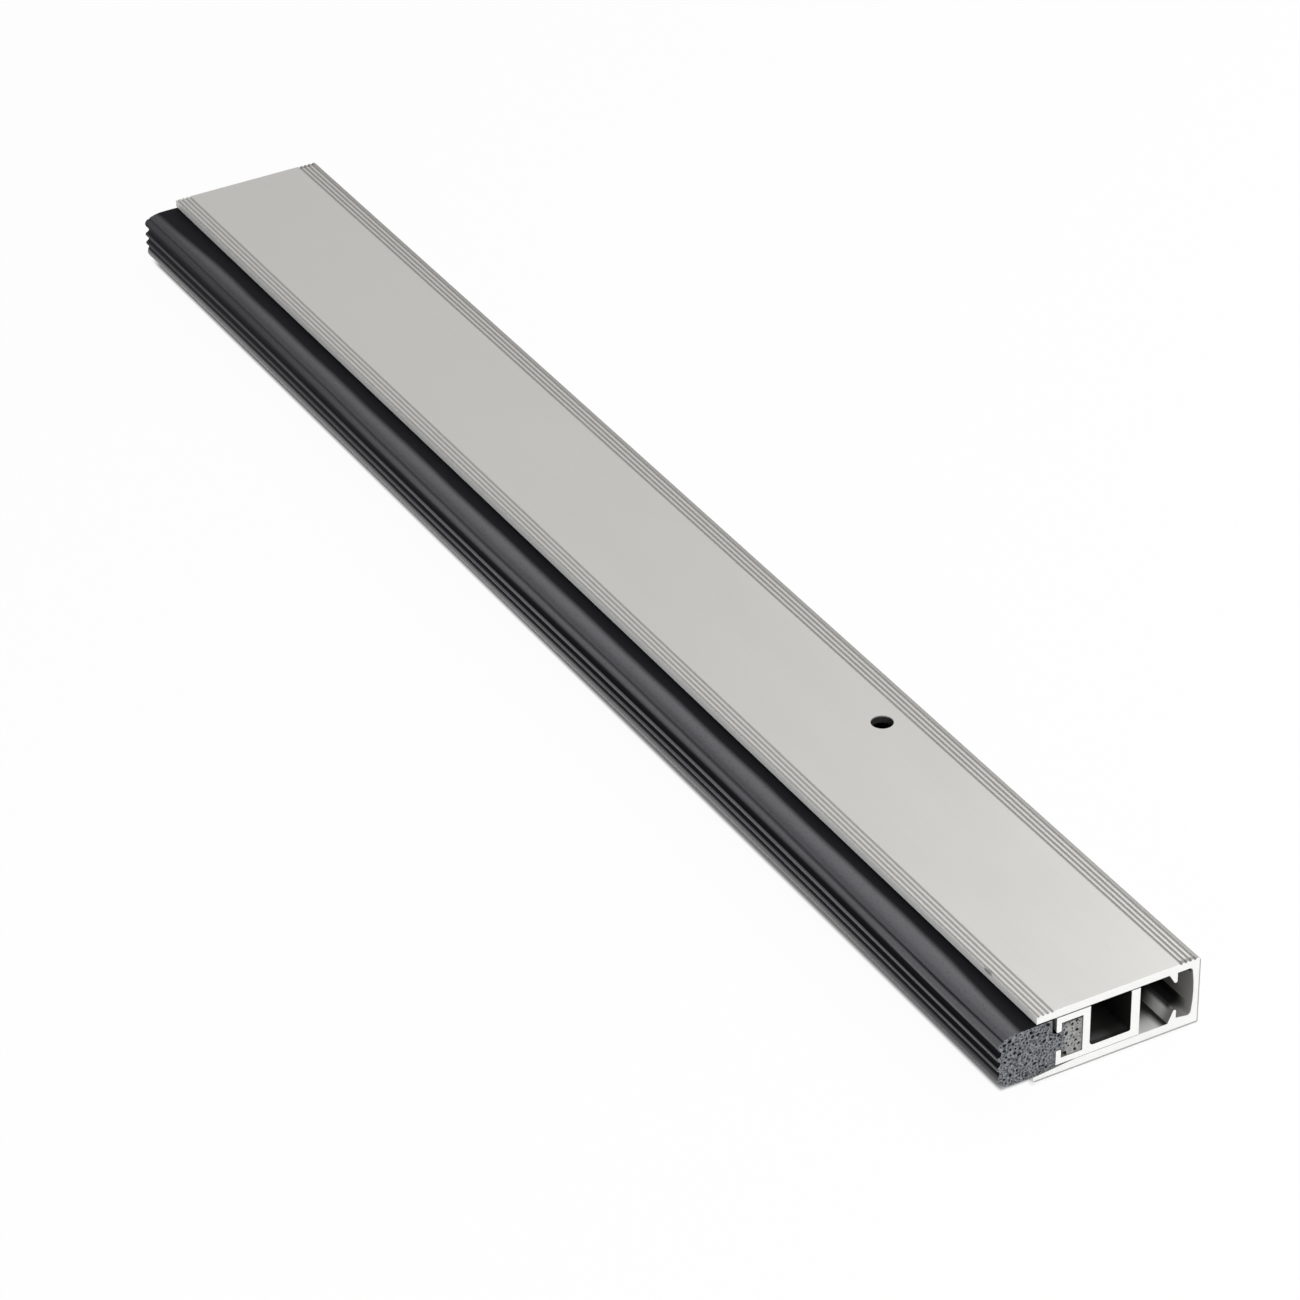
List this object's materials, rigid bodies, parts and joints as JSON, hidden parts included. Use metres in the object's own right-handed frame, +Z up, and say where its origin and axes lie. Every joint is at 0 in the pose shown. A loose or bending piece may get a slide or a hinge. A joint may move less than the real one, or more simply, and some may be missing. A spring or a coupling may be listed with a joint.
{
  "type": "adjustable perimeter seal",
  "caption": "Adjustable door perimeter seal: fluted aluminium channel with an inner slide that carries a ribbed black sponge strip, set by captive screws.",
  "frame": {"origin": "middle of the underside of the whole strip, sponge included", "axes": "+Y along the strip, +Z up from the base plate's underside through the fluted top plate, -X towards the sponge"},
  "size_m": [0.0395, 0.32, 0.0132],
  "materials": {
    "channel_aluminium": "clear satin anodised, with a fine grain along the extrusion",
    "slide_aluminium": "mill finish",
    "black_sponge": "closed-cell sponge rubber with a smooth skin and open pores on its cut ends",
    "plated_steel": "bright zinc plated"
  },
  "bodies": {
    "channel": {"outer_channel": "channel_aluminium"},
    "slide": {"inner_slide": "slide_aluminium", "sponge_seal": "black_sponge"},
    "near_screw": {"adjusting_screw_near": "plated_steel"},
    "far_screw": {"adjusting_screw_far": "plated_steel"}
  },
  "joints": [
    {"name": "slide_travel", "type": "slide", "parent": "channel", "child": "slide", "axis": [-1, 0, 0], "range_m": [0, 0.006]},
    {"name": "near_screw_turn", "type": "hinge", "parent": "channel", "child": "near_screw", "pos_m": [0.0154, -0.1, 0.007], "axis": [1, 0, 0], "range_deg": [0, 2700]},
    {"name": "far_screw_turn", "type": "hinge", "parent": "channel", "child": "far_screw", "pos_m": [0.0154, 0.1, 0.007], "axis": [1, 0, 0], "range_deg": [0, 2700]}
  ],
  "couplings": [
    {"joint": "near_screw_turn", "follows": "slide_travel", "rad_per_m": 7854},
    {"joint": "far_screw_turn", "follows": "slide_travel", "rad_per_m": 7854}
  ]
}
